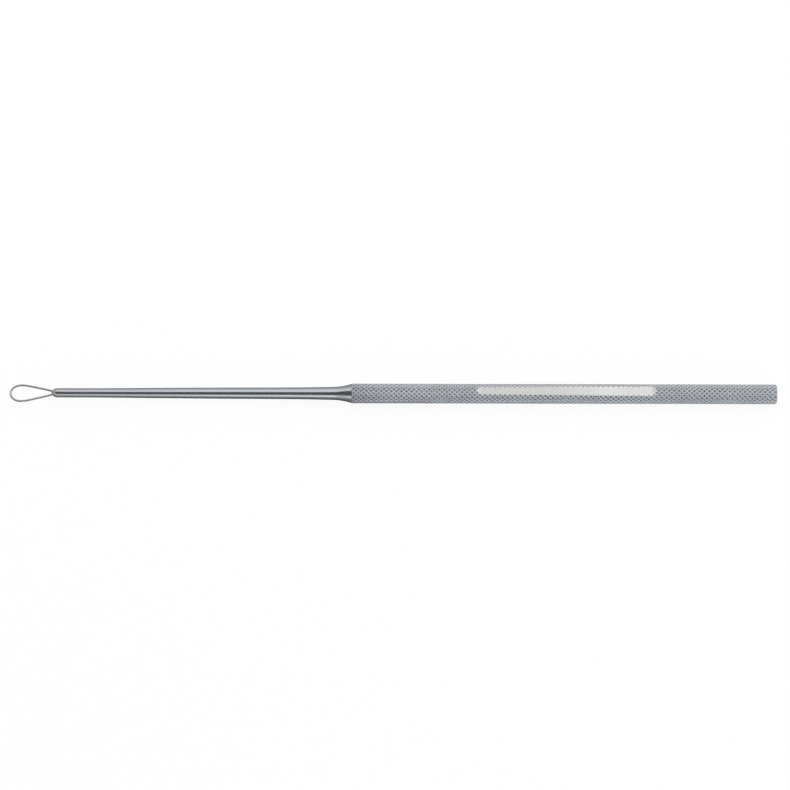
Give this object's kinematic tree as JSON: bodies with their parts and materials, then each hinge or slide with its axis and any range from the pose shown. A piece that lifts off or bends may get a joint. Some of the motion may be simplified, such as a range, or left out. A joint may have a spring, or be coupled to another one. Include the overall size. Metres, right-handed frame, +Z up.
{
  "type": "ear wax removal loop",
  "caption": "Slim steel hand instrument: a thin teardrop wire loop on a polished, tapering round shank that flares into a straight, diamond-knurled round grip with a bare engraving flat.",
  "frame": {"origin": "on the surface that the instrument lies on, under the middle of its length and of its grip", "axes": "+X along the instrument from the wire loop towards the butt of the grip; +Z up, out of the engraving flat; the wire loop lies in the plane of X and Y"},
  "size_m": [0.16, 0.0042, 0.0041],
  "materials": {
    "knurled_steel": "stainless steel with a fine diamond knurl, satin, with a plainly ground bright flat",
    "polished_steel": "stainless steel, turned and polished bright",
    "wire_steel": "drawn stainless spring wire, semi-bright",
    "silver_braze": "silver braze, satin, dressed by hand"
  },
  "bodies": {
    "root": {"grip": "knurled_steel", "shank": "polished_steel", "wire_loop": "wire_steel", "tip_braze": "silver_braze", "socket_braze": "silver_braze"}
  },
  "joints": []
}
